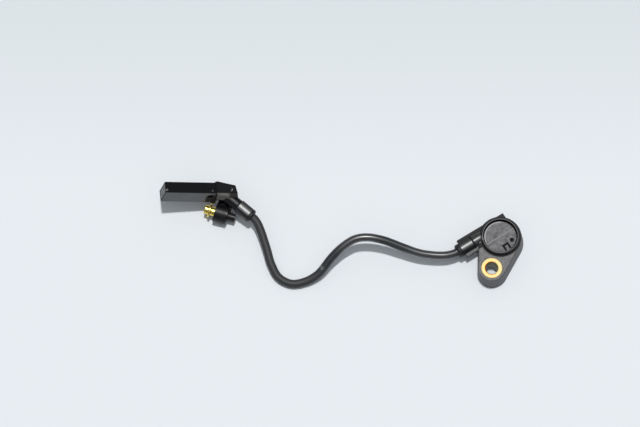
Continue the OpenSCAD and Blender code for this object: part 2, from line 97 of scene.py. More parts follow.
floor_side = 6.0
floor_drop = 0.00003
floor_front = (0.79, 0.822, 0.86, 1)
floor_back = (0.70, 0.752, 0.775, 1)
fade_from, fade_to = 0.05, 0.15
floor_corner = floor_side / 2 * np.array([[-1, -1, 0], [1, -1, 0], [1, 1, 0], [-1, 1, 0]])
floor = add_mesh("floor", floor_corner - [0, 0, floor_drop], [[0, 1, 2, 3]])
floor_material, tree, shader = new_material("paper_floor")
# Painted shade: the floor's colour darkens from front to back.
place = add_node(tree, "SeparateXYZ", Vector=add_node(tree, "TexCoord").outputs["Object"])
back = add_node(tree, "MapRange", Value=place.outputs["Y"], From_Min=fade_from, From_Max=fade_to)
drift = add_node(tree, "MixRGB", Fac=back.outputs["Result"], Color1=floor_front, Color2=floor_back)
tree.links.new(drift.outputs["Color"], shader.inputs["Base Color"])
shader.inputs["Roughness"].default_value = 0.7
shader.inputs["Specular IOR Level"].default_value = 0.2
floor.data.materials.append(floor_material)

lamp_lean = math.radians(6.8)
lamp_data = bpy.data.lights.new("lamp", "SUN")
lamp_data.energy = 2.1
lamp_data.angle = math.radians(4)
lamp_data.color = (1.0, 0.99, 0.98)
lamp = bpy.data.objects.new("lamp", lamp_data)
lamp.rotation_euler = (-lamp_lean, 0, 0)
scene.collection.objects.link(lamp)

sky = bpy.data.worlds.new("sky")
sky.use_nodes = True
tree = sky.node_tree
toward = add_node(tree, "TexCoord").outputs["Generated"]
up = add_node(tree, "SeparateXYZ", Vector=toward)
sky_low, sky_high = 0.13, 0.47
glow = add_node(tree, "MapRange", Value=up.outputs["Z"], From_Min=0.2, From_Max=1.0, To_Min=sky_low,
                To_Max=sky_high)
box_lean = math.radians(7)
box_wide = math.radians(9)
box_light = 2.8
box_axis = (0, -math.sin(box_lean), math.cos(box_lean))
to_box = add_node(tree, "VectorMath", "DOT_PRODUCT", _0=toward, _1=box_axis)
box = add_node(tree, "MapRange", Value=to_box.outputs["Value"], From_Min=math.cos(box_wide),
               From_Max=math.cos(0.6 * box_wide), To_Max=box_light)
both = add_node(tree, "Math", _0=glow.outputs["Result"], _1=box.outputs["Result"])
tree.links.new(both.outputs["Value"], tree.nodes["Background"].inputs["Strength"])
tree.nodes["Background"].inputs["Color"].default_value = (0.93, 0.97, 1.0, 1)
scene.world = sky

# Cable: three cores in an extruded black jacket. It is stiff enough to hold its bends, so it runs
# down to the floor from the probe, arches up and comes back into the head.
jacket_d = 0.0045
seat_depth = 0.002
route = np.array([
    (-129.796, 30.379, 9.167), (-127.792, 28.788, 8.707), (-126.1, 26.9, 8.3), (-124.8, 24.6, 7.9),
    (-123.2, 20.6, 7.1), (-120.5, 12.4, 5.5), (-118.1, 4.3, 4.1), (-114.1, -2.8, 2.7), (-107.4, -6.3, 2.3),
    (-100, -5.3, 2.7), (-92.9, -1.6, 4.5), (-85.4, 6.7, 8.7), (-79.3, 12.1, 11.1), (-73, 15.6, 12.6),
    (-66.4, 16.4, 13), (-57.8, 15, 12.2), (-48.3, 11.8, 10.6), (-38.7, 8.8, 9.1), (-33, 8, 8.5),
    (-28.5, 7.7, 8.2), (-24.8, 7.8, 8), (-21.7, 8.4, 7.8), (-18.711, 9.548, 7.7),
    (-16.507, 10.925, 7.7)]) / 1000


def unit(v):
    """Vectors of length one, along the last axis."""
    return v / np.linalg.norm(v, axis=-1, keepdims=True)


def smooth_line(points, steps):
    """A curve through the points: on each span a cubic whose end slopes follow the neighbours, with the
    spans timed by the square root of their length, and straight first and last spans."""
    gap = np.sqrt(np.linalg.norm(np.diff(points, axis=0), axis=1))[:, None]
    chord = np.diff(points, axis=0) / gap
    inner = (chord[:-1] * gap[1:] + chord[1:] * gap[:-1]) / (gap[:-1] + gap[1:])
    slope = np.vstack([chord[:1], inner, chord[-1:]])
    slope[1] = unit(chord[0]) * np.linalg.norm(slope[1])
    slope[-2] = unit(chord[-1]) * np.linalg.norm(slope[-2])
    t = np.linspace(0, 1, steps, endpoint=False)[None, :, None]
    p0, p1 = points[:-1, None], points[1:, None]
    m0, m1 = (slope[:-1] * gap)[:, None], (slope[1:] * gap)[:, None]
    curve = ((2 * t**3 - 3 * t**2 + 1) * p0 + (t**3 - 2 * t**2 + t) * m0
             + (3 * t**2 - 2 * t**3) * p1 + (t**3 - t**2) * m1)
    return np.vstack([curve.reshape(-1, 3), points[-1:]])


def grid_faces(rows, columns):
    """Quads of a grid of rows by columns, closed round the columns."""
    i, j = np.meshgrid(np.arange(rows - 1), np.arange(columns), indexing="ij")
    k = (j + 1) % columns
    return np.stack([i * columns + j, i * columns + k, (i + 1) * columns + k, (i + 1) * columns + j],
                    axis=-1).reshape(-1, 4)


def lay_uv(piece, u, v):
    """A UV map from values of u and v at each vertex, read through the loops."""
    corner = np.zeros(len(piece.data.loops), np.int32)
    piece.data.loops.foreach_get("vertex_index", corner)
    both = np.stack([u.ravel()[corner], v.ravel()[corner]], axis=1)
    piece.data.uv_layers.new(name="jacket").data.foreach_set("uv", both.astype(np.float32).ravel())


jacket_sides = 28
line = smooth_line(route, 14)
heading = unit(np.gradient(line, axis=0))
aside = unit(np.cross(heading, [0, 0, 1]))
above = np.cross(aside, heading)
around = np.linspace(0, 2 * math.pi, jacket_sides, endpoint=False)
skin = line[:, None] + jacket_d / 2 * (np.cos(around)[None, :, None] * aside[:, None]
                                      + np.sin(around)[None, :, None] * above[:, None])
jacket_ends = [list(range(jacket_sides))[::-1],
               list(range((len(line) - 1) * jacket_sides, len(line) * jacket_sides))]
cable = add_mesh("cable_jacket", skin, [*grid_faces(len(line), jacket_sides), *jacket_ends])
cable.data.polygons.foreach_set("use_smooth", [True] * len(cable.data.polygons))
run = np.concatenate([[0], np.cumsum(np.linalg.norm(np.diff(line, axis=0), axis=1))])
lay_uv(cable, np.broadcast_to(np.sin(around), skin.shape[:2]),
       np.broadcast_to(run[:, None], skin.shape[:2]))


def effect(name, inputs, outputs):
    """A shader node group with those float inputs (name to value) and outputs (name to socket kind)."""
    group = bpy.data.node_groups.new(name, "ShaderNodeTree")
    for key, value in inputs.items():
        group.interface.new_socket(key, in_out="INPUT", socket_type="NodeSocketFloat").default_value = value
    for key, kind in outputs.items():
        group.interface.new_socket(key, in_out="OUTPUT", socket_type="NodeSocket" + kind)
    return group, group.nodes.new("NodeGroupInput").outputs, group.nodes.new("NodeGroupOutput").inputs


def use_effect(tree, group, **sockets):
    """Places a shader node group in a material, with its own values."""
    made = tree.nodes.new("ShaderNodeGroup")
    made.node_tree = group
    for key, value in sockets.items():
        made.inputs[key.replace("_", " ")].default_value = value
    return made.outputs


# Skin that every moulded or extruded plastic here shares: a fine grain, and a slow drift of tone
moulded_skin, given, put = effect(
    "moulded_skin", {"Grain Scale": 3000.0, "Grain Depth": 0.00002, "Drift Scale": 150.0},
    {"Tone": "Float", "Gloss": "Float", "Normal": "Vector"})
place = add_node(moulded_skin, "TexCoord").outputs["Object"]
grain = add_node(moulded_skin, "TexNoise", Vector=place, Scale=given["Grain Scale"], Detail=3.0)
slow = add_node(moulded_skin, "TexNoise", Vector=place, Scale=given["Drift Scale"], Detail=5.0,
                Roughness=0.6)
fast = add_node(moulded_skin, "TexNoise", Vector=place, Scale=900.0, Detail=2.0)
dent = add_node(moulded_skin, "Bump", Strength=1.0, Distance=given["Grain Depth"],
                Height=grain.outputs["Fac"])
tone = add_node(moulded_skin, "MapRange", Value=slow.outputs["Fac"], From_Min=0.3, From_Max=0.7)
gloss = add_node(moulded_skin, "MapRange", Value=fast.outputs["Fac"], From_Min=0.3, From_Max=0.7)
moulded_skin.links.new(tone.outputs["Result"], put["Tone"])
moulded_skin.links.new(gloss.outputs["Result"], put["Gloss"])
moulded_skin.links.new(dent.outputs["Normal"], put["Normal"])


def plastic(name, dark, light, rough, grain_scale=3000.0, grain_depth=0.00002, drift_scale=150.0,
            specular=0.5):
    """Moulded plastic: the tone drifts from dark to light, the roughness between two values."""
    material, tree, shader = new_material(name)
    skin = use_effect(tree, moulded_skin, Grain_Scale=grain_scale, Grain_Depth=grain_depth,
                      Drift_Scale=drift_scale)
    colour = add_node(tree, "MixRGB", Fac=skin["Tone"], Color1=(*dark, 1), Color2=(*light, 1))
    matt = add_node(tree, "MapRange", Value=skin["Gloss"], To_Min=rough[0], To_Max=rough[1])
    tree.links.new(colour.outputs["Color"], shader.inputs["Base Color"])
    tree.links.new(matt.outputs["Result"], shader.inputs["Roughness"])
    tree.links.new(skin["Normal"], shader.inputs["Normal"])
    shader.inputs["Specular IOR Level"].default_value = specular
    return material


def inside(tree, value, low, high, soft):
    """A mask that is one between low and high, and fades to nothing over a soft width outside them."""
    rise = add_node(tree, "MapRange", Value=value, From_Min=low - soft, From_Max=low).outputs["Result"]
    fall = add_node(tree, "MapRange", Value=value, From_Min=high + soft, From_Max=high).outputs["Result"]
    return add_node(tree, "Math", "MULTIPLY", _0=rise, _1=fall).outputs["Value"]


def near(tree, spot, reach, soft):
    """A mask that is one within reach of a spot, given in metres."""
    place = add_node(tree, "TexCoord").outputs["Object"]
    away = add_node(tree, "VectorMath", "DISTANCE", _0=place, _1=tuple(spot)).outputs["Value"]
    return add_node(tree, "MapRange", Value=away, From_Min=reach + soft, From_Max=reach).outputs["Result"]


def coat(material, mask, colour, rough):
    """Another tone and roughness over a material where the mask is one."""
    tree = material.node_tree
    shader = tree.nodes["Principled BSDF"]
    under = shader.inputs["Base Color"].links[0].from_socket
    tone = add_node(tree, "MixRGB", Fac=mask, Color1=under, Color2=(*colour, 1))
    tree.links.new(tone.outputs["Color"], shader.inputs["Base Color"])
    under = shader.inputs["Roughness"].links[0].from_socket
    matt = add_node(tree, "MapRange", Value=mask, To_Min=under, To_Max=rough)
    tree.links.new(matt.outputs["Result"], shader.inputs["Roughness"])


# The jacket is dull where it has been handled and in its lower bend, bright on its hump and by the head,
# and scuffed where it turns upward
jacket_plastic = plastic("jacket_plastic", (0.014, 0.017, 0.021), (0.027, 0.031, 0.037), (0.3, 0.4))
tree = jacket_plastic.node_tree
shader = tree.nodes["Principled BSDF"]
strand = add_node(tree, "Mapping", Vector=add_node(tree, "UVMap").outputs["UV"], Scale=(40, 90, 1))
handled = add_node(tree, "TexNoise", Vector=strand.outputs["Vector"], Scale=0.6, Detail=3.0)
dull = add_node(tree, "MapRange", Value=handled.outputs["Fac"], From_Min=0.35, From_Max=0.65,
                To_Min=0.26, To_Max=0.5)
tree.links.new(dull.outputs["Result"], shader.inputs["Roughness"])
walked = add_node(tree, "SeparateXYZ", Vector=add_node(tree, "UVMap").outputs["UV"]).outputs["Y"]
dull_to = 0.055
coat(jacket_plastic, inside(tree, walked, -0.01, dull_to, 0.015), (0.026, 0.027, 0.029), 0.56)
on_hump = inside(tree, walked, 0.082, 0.098, 0.006)
by_head = inside(tree, walked, 0.122, 0.14, 0.006)
polished = add_node(tree, "Math", "MAXIMUM", _0=on_hump, _1=by_head).outputs["Value"]
coat(jacket_plastic, polished, (0.028, 0.029, 0.032), 0.3)
tree.links.new(polished, shader.inputs["Coat Weight"])
shader.inputs["Coat Roughness"].default_value = 0.3
scuff_at = np.array([-90.8, 1.0, 7.2]) / 1000
scuff_reach = 0.0009
place = add_node(tree, "TexCoord").outputs["Object"]
scratch = add_node(tree, "TexNoise", Vector=place, Scale=1500.0, Detail=3.0)
scraped = add_node(tree, "MapRange", Value=scratch.outputs["Fac"], From_Min=0.5, From_Max=0.6)
scuff = add_node(tree, "Math", "MULTIPLY", _0=near(tree, scuff_at, scuff_reach, 0.0008),
                 _1=scraped.outputs["Result"])
coat(jacket_plastic, scuff.outputs["Value"], (0.24, 0.24, 0.245), 0.6)
dust = add_node(tree, "MapRange", Value=scratch.outputs["Fac"], From_Min=0.66, From_Max=0.72)
coat(jacket_plastic, dust.outputs["Result"], (0.09, 0.09, 0.093), 0.7)
cable.data.materials.append(jacket_plastic)
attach(cable, "root")
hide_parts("cable")


# Cable sleeves: mouldings of glossy black plastic, one at each end of the cable, pushed with a spigot
# into their glands. A neck parts each from its gland, painted darker and matt as painted shade, and a
# groove its mouth. Each is polished by hands along its top.
def rounded_loop(points, radius, steps=4):
    """A closed outline with each corner eased: a curve of second degree from one side to the other."""
    here = np.asarray(points, float)
    way_in, way_out = np.roll(here, 1, axis=0) - here, np.roll(here, -1, axis=0) - here
    ease_in = np.minimum(radius, 0.45 * np.linalg.norm(way_in, axis=1))[:, None] * unit(way_in)
    ease_out = np.minimum(radius, 0.45 * np.linalg.norm(way_out, axis=1))[:, None] * unit(way_out)
    t = np.linspace(0, 1, steps)[None, :, None]
    curve = here[:, None] + (1 - t) ** 2 * ease_in[:, None] + t**2 * ease_out[:, None]
    return curve.reshape(-1, 2)


def even_shading(piece):
    """Lets the large faces set the direction of the shared corners, so that they stay flat or round."""
    even = piece.modifiers.new("even_faces", "WEIGHTED_NORMAL")
    even.weight = 100
    even.keep_sharp = True


def turned(name, outline, foot, axis, sides=96):
    """A body of revolution: each point of a closed outline of radius and height, in millimetres, is
    carried round an axis that starts at the foot. Points on the axis are merged."""
    outline = np.asarray(outline, float) / 1000
    axis = unit(np.asarray(axis, float))
    aside = unit(np.cross(axis, [0.3, 1.0, 0.2]))
    round_it = np.linspace(0, 2 * math.pi, sides, endpoint=False)
    spoke = np.cos(round_it)[:, None] * aside + np.sin(round_it)[:, None] * np.cross(axis, aside)
    points = np.asarray(foot) / 1000 + outline[:, None, 1:] * axis + outline[:, None, :1] * spoke[None]
    ring = np.arange(len(outline) * sides).reshape(len(outline), sides)
    ring = np.vstack([ring, ring[:1]])
    after = np.roll(ring, -1, axis=1)
    quads = np.stack([ring[:-1], ring[1:], after[1:], after[:-1]], axis=-1)
    piece = add_mesh(name, points, quads.reshape(-1, 4))
    piece.data.polygons.foreach_set("use_smooth", [True] * len(piece.data.polygons))
    walked = np.concatenate([[0], np.cumsum(np.linalg.norm(np.diff(outline, axis=0), axis=1))])
    lay_uv(piece, np.broadcast_to(walked[:, None], (len(outline), sides)),
           np.broadcast_to(round_it / (2 * math.pi), (len(outline), sides)))
    work = bmesh.new()
    work.from_mesh(piece.data)
    bmesh.ops.remove_doubles(work, verts=work.verts, dist=1e-7)
    work.to_mesh(piece.data)
    work.free()
    even_shading(piece)
    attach(piece, "root")
    return piece


def all_of(tree, *masks):
    """The product of some masks."""
    made = masks[0]
    for mask in masks[1:]:
        made = add_node(tree, "Math", "MULTIPLY", _0=made, _1=mask).outputs["Value"]
    return made


seat = seat_depth * 1000
spigot_r, spigot_long, bore_r = 2.7, 3.0, 1.95
neck_r, neck_long, body_r = 3.3, 0.8, 3.75
groove_r, groove_wide, mouth_r, seat_r = 3.5, 0.4, 3.05, 2.3
edge_soft = 0.0001
for name, length, end, out, shine in (("probe_sleeve", 10.2, route[0], unit(route[1] - route[0]), 2.5),
                                      ("head_sleeve", 10.0, route[-1], unit(route[-2] - route[-1]), 1.95)):
    groove_at, mouth_at = length - 2.1, length - 0.7
    outline = [(bore_r, -spigot_long), (spigot_r, -spigot_long), (spigot_r, 0), (neck_r, 0),
               (neck_r, neck_long), (body_r, neck_long), (body_r, groove_at), (groove_r, groove_at),
               (groove_r, groove_at + groove_wide), (body_r, groove_at + groove_wide), (body_r, mouth_at),
               (mouth_r, length), (seat_r, length), (seat_r, length - seat), (bore_r, length - seat)]
    foot = end * 1000 - out * (length - seat)
    sleeve = turned(name + "_moulding", rounded_loop(outline, 0.18), foot, out)
    sleeve_plastic = plastic(name + "_plastic", (0.008, 0.008, 0.009), (0.014, 0.014, 0.016), (0.3, 0.36),
                             grain_depth=0.000004, specular=0.4)
    tree = sleeve_plastic.node_tree
    shader = tree.nodes["Principled BSDF"]
    place = add_node(tree, "TexCoord").outputs["Object"]
    walked = add_node(tree, "VectorMath", "DOT_PRODUCT", _0=place, _1=tuple(out)).outputs["Value"]
    spigot_end, neck_end, groove = (foot @ out + np.array([-10, neck_long, groove_at])) / 1000
    # Painted shade: the neck is painted darker and matt.
    neck = inside(tree, walked, spigot_end, neck_end, edge_soft)
    coat(sleeve_plastic, neck, (0.003, 0.003, 0.004), 0.8)
    mouth = inside(tree, walked, groove, groove + 0.012, edge_soft)
    coat(sleeve_plastic, mouth, (0.012, 0.012, 0.013), 0.5)
    top = unit(np.array([0, 0, 1]) - out[2] * out)
    raised = add_node(tree, "VectorMath", "DOT_PRODUCT", _0=place, _1=tuple(top)).outputs["Value"]
    crest = (foot @ top + body_r) / 1000
    polished = all_of(tree, inside(tree, walked, neck_end, groove, edge_soft),
                      inside(tree, raised, crest - 0.0003, crest + 0.001, 0.0004))
    tree.links.new(polished, shader.inputs["Coat Weight"])
    shader.inputs["Coat Roughness"].default_value = 0.41
    shader.inputs["Coat IOR"].default_value = shine
    sleeve.data.materials.append(sleeve_plastic)
    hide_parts(name)


# Carrier block: one black moulding that holds the wiring, the cover and the brass bush in its boss. Its
# front bevel is painted a lighter grey beside the cover, a painted reflection of the light.
def moulded(name, radius, material, steps=2):
    """A copy of a solid's mesh, merged and cleaned, with rounded edges, that stands for the solid."""
    mesh = bpy.data.meshes.new(name + "_moulding")
    work = bmesh.new()
    work.from_mesh(nodes[name].data)
    bmesh.ops.remove_doubles(work, verts=work.verts, dist=1e-6)
    bmesh.ops.dissolve_limit(work, angle_limit=math.radians(0.5), verts=work.verts, edges=work.edges)
    for face in work.faces:
        face.smooth = True
    work.to_mesh(mesh)
    work.free()
    mesh.materials.append(material)
    piece = bpy.data.objects.new(name + "_moulding", mesh)
    scene.collection.objects.link(piece)
    bevel = piece.modifiers.new("mould_radius", "BEVEL")
    bevel.width = radius
    bevel.segments = steps
    bevel.limit_method = "ANGLE"
    bevel.angle_limit = math.radians(32)
    bevel.use_clamp_overlap = True
    even_shading(piece)
    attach(piece, "root")
    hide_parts(name)
    return piece


def faces_of(piece, origin, turn):
    """The middles of a piece's faces, in millimetres, and their outward directions, both in a frame that
    has that origin and is turned by that matrix."""
    count = len(piece.data.polygons)
    middle, outward = np.zeros(3 * count), np.zeros(3 * count)
    piece.data.polygons.foreach_get("center", middle)
    piece.data.polygons.foreach_get("normal", outward)
    return (middle.reshape(-1, 3) * 1000 - origin) @ turn, outward.reshape(-1, 3) @ turn


def paint_faces(piece, *coats):
    """Further materials on some faces, from pairs of a material and the faces chosen for it."""
    index = np.zeros(len(piece.data.polygons), np.int32)
    for material, chosen in coats:
        index[chosen] = len(piece.data.materials)
        piece.data.materials.append(material)
    piece.data.polygons.foreach_set("material_index", index)


def own_frame(tree, origin, turn):
    """Places in a frame with that origin, in metres, and turned by those three angles."""
    place = add_node(tree, "TexCoord").outputs["Object"]
    moved = add_node(tree, "Mapping", Vector=place, Location=tuple(origin), Rotation=tuple(turn))
    moved.vector_type = "TEXTURE"
    return moved.outputs["Vector"], add_node(tree, "SeparateXYZ", Vector=moved.outputs["Vector"]).outputs


probe_place = np.array([-149.3, 41.8, 12.712])
probe_angles = np.radians([-17.5, 11, 2.6])
probe_turn = np.array(Euler(probe_angles).to_matrix())
lug_place = probe_place + probe_turn @ [5.0, -7.5, -9.2]
lug_turn = probe_turn @ np.array(Euler((0, 0, math.radians(-20))).to_matrix())
carrier_plastic = plastic("carrier_plastic", (0.004, 0.004, 0.005), (0.008, 0.008, 0.009), (0.32, 0.44),
                          specular=0.28)
# Painted reflection: the block's front faces are painted a lighter grey, fading back to black away from the
# cover.
painted_reflection_plastic = plastic("painted_reflection_plastic", (0.08, 0.077, 0.07), (0.13, 0.126, 0.116), (0.45, 0.6),
                         drift_scale=700.0)
tree = painted_reflection_plastic.node_tree
_, probe_axes = own_frame(tree, probe_place / 1000, probe_angles)
coat(painted_reflection_plastic, inside(tree, probe_axes["X"], 0.0085, 0.02, 0.0012), (0.006, 0.006, 0.007), 0.4)
block = moulded("probe_block", 0.00015, carrier_plastic)
middle, outward = faces_of(block, probe_place, probe_turn)
faces_front = (outward[:, 1] < -0.3) & (abs(outward[:, 0]) < 0.3)
front_band = faces_front & (middle[:, 2] > 0.2) & (middle[:, 0] > 1)
paint_faces(block, (painted_reflection_plastic, front_band))

# Cover: a thin glossy black cap, pushed over the tongue of the block until its windows snap on two hooks.
# Its top is mirror-like. Its front is painted a little paler, a painted reflection of the floor, and
# its end is painted grey with painted shade along its edges. Two small pips stand on its top, painted
# light grey as painted glints.
cover_plastic = plastic("cover_plastic", (0.003, 0.003, 0.0035), (0.005, 0.005, 0.006), (0.1, 0.15),
                        grain_depth=0.000002, specular=0.32)
# Painted reflection: the front faces are painted paler, and near the window they are painted back to black.
front_painted_reflection = plastic("cover_front_painted_reflection", (0.046, 0.05, 0.053), (0.06, 0.064, 0.067), (0.28, 0.36),
                        grain_depth=0.000004, specular=0.8)
tree = front_painted_reflection.node_tree
_, probe_axes = own_frame(tree, probe_place / 1000, probe_angles)
by_window = all_of(tree, inside(tree, probe_axes["X"], -0.004, 0.002, 0.0005),
                   inside(tree, probe_axes["Z"], -0.006, 0.001, 0.0008))
coat(front_painted_reflection, by_window, (0.006, 0.006, 0.007), 0.8)
# Painted light: the end face is painted grey, with painted shade lines along its edges.
end_painted_light = plastic("cover_end_painted_light", (0.02, 0.021, 0.022), (0.11, 0.113, 0.118), (0.24, 0.34),
                      grain_depth=0.00001, drift_scale=500.0, specular=0.36)
tree = end_painted_light.node_tree
_, probe_axes = own_frame(tree, probe_place / 1000, probe_angles)
edge_shade_line = 0.0007
for axis, half in (("Y", 0.0036), ("Z", 0.0043)):
    out = add_node(tree, "Math", "ABSOLUTE", _0=probe_axes[axis]).outputs["Value"]
    coat(end_painted_light, inside(tree, out, half - edge_shade_line, half, 0.0002), (0.003, 0.003, 0.004), 0.8)
cover = moulded("probe_cover", 0.00038, cover_plastic, 3)
middle, outward = faces_of(cover, probe_place, probe_turn)
on_front = (outward[:, 1] < -0.8) & (middle[:, 1] < -3.3)
paint_faces(cover, (front_painted_reflection, on_front), (end_painted_light, outward[:, 0] < -0.8))
# Painted glints: the pips are painted light grey, and the second one darker as a fainter glint.
pip_painted_glint = plastic("pip_painted_glint", (0.08, 0.082, 0.085), (0.2, 0.205, 0.21), (0.2, 0.3),
                      drift_scale=900.0)
pip_r, pip_crown, pip_sink = 0.65, 1.3, 0.25
pip_spots = [probe_place + probe_turn @ [along, -1.9, 4.3] for along in (-25.8, -1.0)]
fainter_glint = near(pip_painted_glint.node_tree, pip_spots[1] / 1000, 0.001, 0.0001)
coat(pip_painted_glint, fainter_glint, (0.03, 0.031, 0.032), 0.35)
slope = np.linspace(math.asin(pip_r / pip_crown), 0, 8)
foot_level = pip_crown * math.cos(slope[0])
pip = np.vstack([[(0, -pip_sink), (pip_r, -pip_sink)],
                 np.column_stack([pip_crown * np.sin(slope), pip_crown * np.cos(slope) - foot_level])])
for k, spot in enumerate(pip_spots):
    made = turned(f"cover_pip_{k}", pip, spot, probe_turn[:, 2], 32)
    made.data.materials.append(pip_painted_glint)

# Fill plug: a round glossy black plug, moulded by itself and pressed into the block's fill hole. It has
# a raised ring round a shallow dish, and its middle is painted bright as a painted highlight.
plug_gloss = plastic("plug_plastic", (0.006, 0.006, 0.007), (0.010, 0.010, 0.011), (0.12, 0.18),
                     grain_depth=0.000002, specular=0.5)
dish_r, dish_curve, plug_top = 0.85, 1.5, 1.45
slope = np.linspace(math.asin(dish_r / dish_curve), 0, 10)
dish_drop = dish_curve * (np.cos(slope) - math.cos(slope[0]))
dish = np.column_stack([dish_curve * np.sin(slope), plug_top - dish_drop])
plug_outline = np.vstack([[(0, 0), (1.6, 0), (1.6, 1.2), (1.45, 1.4), (1.2, plug_top)], dish])
plug_foot = np.array([9.4, -1.6, 3.6])
plug = turned("fill_plug_moulding", plug_outline, probe_place + probe_turn @ plug_foot, probe_turn[:, 2], 64)
# Painted highlight: a bright spot is painted in the middle of the dish.
plug_painted_highlight = probe_place + probe_turn @ (plug_foot + [0, 0, plug_top - 0.2])
coat(plug_gloss, near(plug_gloss.node_tree, plug_painted_highlight / 1000, 0.0003, 0.0002), (0.3, 0.3, 0.3), 0.3)
plug.data.materials.append(plug_gloss)
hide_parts("fill_plug")

# Head housing: a satin black moulding with a flange, a raised rim round the lid and a gland. Its walls
# below the flange's top are painted one slightly darker grey as painted shade. The rim is painted dark
# and matt, painted shade in the gap round the lid and down its walls, with a painted highlight along its
# top. The wings are dark, and the gland is as glossy as its sleeve.
head_place = Vector((0.0048, 0.0174, 0))
gland_turn = math.radians(212)
gland_off = -0.0058
flange_top = 0.0104
rim_top = 0.0126


def head_frame(tree):
    """Places in the head's own frame, with its zero on the rim's axis and x along the gland, and the
    distance from that axis."""
    moved, axes = own_frame(tree, head_place, (0, 0, gland_turn))
    flat = add_node(tree, "VectorMath", "MULTIPLY", _0=moved, _1=(1, 1, 0))
    radius = add_node(tree, "VectorMath", "LENGTH", _0=flat.outputs["Vector"]).outputs["Value"]
    return axes["X"], axes["Y"], axes["Z"], radius


housing_plastic = plastic("housing_plastic", (0.055, 0.055, 0.058), (0.14, 0.14, 0.146), (0.44, 0.54),
                          drift_scale=600.0)
tree = housing_plastic.node_tree
along, across, height, radius = head_frame(tree)
# Painted shade: the walls below the flange's top are painted one even, slightly darker grey.
walls = inside(tree, height, -0.001, flange_top - 0.0005, 0.0003)
coat(housing_plastic, walls, (0.08, 0.08, 0.085), 0.5)
wings = all_of(tree, inside(tree, along, 0.0095, 0.03, 0.0012), inside(tree, across, -0.02, -0.0004, 0.0002))
coat(housing_plastic, wings, (0.009, 0.009, 0.01), 0.75)
back_wing = all_of(tree, inside(tree, along, 0.003, 0.03, 0.001),
                   inside(tree, across, -0.02, -0.0086, 0.0004),
                   inside(tree, height, 0.005, flange_top, 0.0003))
coat(housing_plastic, back_wing, (0.014, 0.014, 0.015), 0.75)
tooth = all_of(tree, inside(tree, along, -0.013, -0.004, 0.001),
               inside(tree, across, -0.02, -0.008, 0.0005), inside(tree, height, 0.007, 0.02, 0.0003))
coat(housing_plastic, tooth, (0.018, 0.018, 0.019), 0.75)
front_wing = all_of(tree, wings, inside(tree, across, -0.0028, -0.0004, 0.0002),
                    inside(tree, height, -0.001, 0.0095, 0.0003))
coat(housing_plastic, front_wing, (0.06, 0.061, 0.065), 0.5)
gland_half = 0.0026
on_gland = all_of(tree, wings, inside(tree, across, gland_off - gland_half, gland_off + gland_half, 0.0003),
                  inside(tree, height, 0.0091, 0.02, 0.0003))
coat(housing_plastic, on_gland, (0.012, 0.012, 0.013), 0.3)
shader = tree.nodes["Principled BSDF"]
tree.links.new(on_gland, shader.inputs["Coat Weight"])
shader.inputs["Coat Roughness"].default_value = 0.36
shader.inputs["Coat IOR"].default_value = 1.6
# Painted shade: the rim and the gap round the lid are painted dark and matt.
rim_and_painted_shade = all_of(tree, inside(tree, height, flange_top - 0.00005, 0.02, 0.0001),
                inside(tree, radius, 0.0085, 0.01115, 0.0001))
coat(housing_plastic, rim_and_painted_shade, (0.005, 0.005, 0.006), 0.75)
# Painted highlight: a paler line is painted along the rim's top.
rim_painted_highlight = all_of(tree, inside(tree, height, rim_top, 0.02, 0.0001),
                   inside(tree, radius, 0.00945, 0.00965, 0.00012))
coat(housing_plastic, rim_painted_highlight, (0.09, 0.09, 0.095), 0.5)
moulded("head_housing", 0.00015, housing_plastic)

# Lid: a grey moulded disc, mottled, pressed into the pocket on its seal. A step runs across it with a
# painted highlight along its arris, and a painted highlight lies along the disc's back-left edge. A
# three-sided frame, a round gate mark and all of the lid below 10.1 mm are painted dark.
lid_plastic = plastic("lid_plastic", (0.004, 0.004, 0.005), (0.16, 0.161, 0.174), (0.44, 0.54),
                      grain_scale=2200.0, grain_depth=0.00003, drift_scale=700.0)
tree = lid_plastic.node_tree
along, across, height, radius = head_frame(tree)
# Painted highlight: a light band is painted along the step's arris.
coat(lid_plastic, inside(tree, across, -0.0004, 0.00004, 0.00012), (0.2, 0.2, 0.205), 0.45)
# Painted highlight: a pale crescent is painted along the lid's back-left edge.
lid_edge_painted_highlight = all_of(tree, inside(tree, radius, 0.0081, 0.009, 0.0003),
                   inside(tree, along, -0.004, 0.008, 0.002), inside(tree, across, -0.02, -0.002, 0.002))
coat(lid_plastic, lid_edge_painted_highlight, (0.28, 0.28, 0.29), 0.4)
frame_half, frame_line, frame_foot = 0.0019, 0.00105, 0.0045
side = add_node(tree, "Math", "ABSOLUTE", _0=along).outputs["Value"]
legs = all_of(tree, inside(tree, side, frame_half - frame_line, frame_half, 0.0001),
              inside(tree, across, frame_foot, 0.0082, 0.0001))
bar = all_of(tree, inside(tree, side, 0, frame_half, 0.0001),
             inside(tree, across, frame_foot, frame_foot + frame_line, 0.0001))
gate_at = head_place + Euler((0, 0, gland_turn)).to_matrix() @ Vector((-0.0044, 0.0046, 0.0104))
gate = near(tree, gate_at, 0.00115, 0.0001)
hollows = inside(tree, height, 0, 0.0101, 0.00015)
# The frame, the gate mark and the lid below 10.1 mm are painted dark.
for mark in (legs, bar, gate, hollows):
    coat(lid_plastic, mark, (0.003, 0.003, 0.003), 0.9)
moulded("head_lid", 0.00012, lid_plastic)

# Rubber seals: a round black cord that the lid squeezes against its pocket, and a ring that sits in a
# groove of the seating face.
seal_rubber = plastic("seal_rubber", (0.006, 0.006, 0.006), (0.01, 0.01, 0.01), (0.5, 0.6),
                      grain_depth=0.00001)
for name in ("lid_seal", "seat_seal"):
    nodes[name].data.materials.clear()
    nodes[name].data.materials.append(seal_rubber)


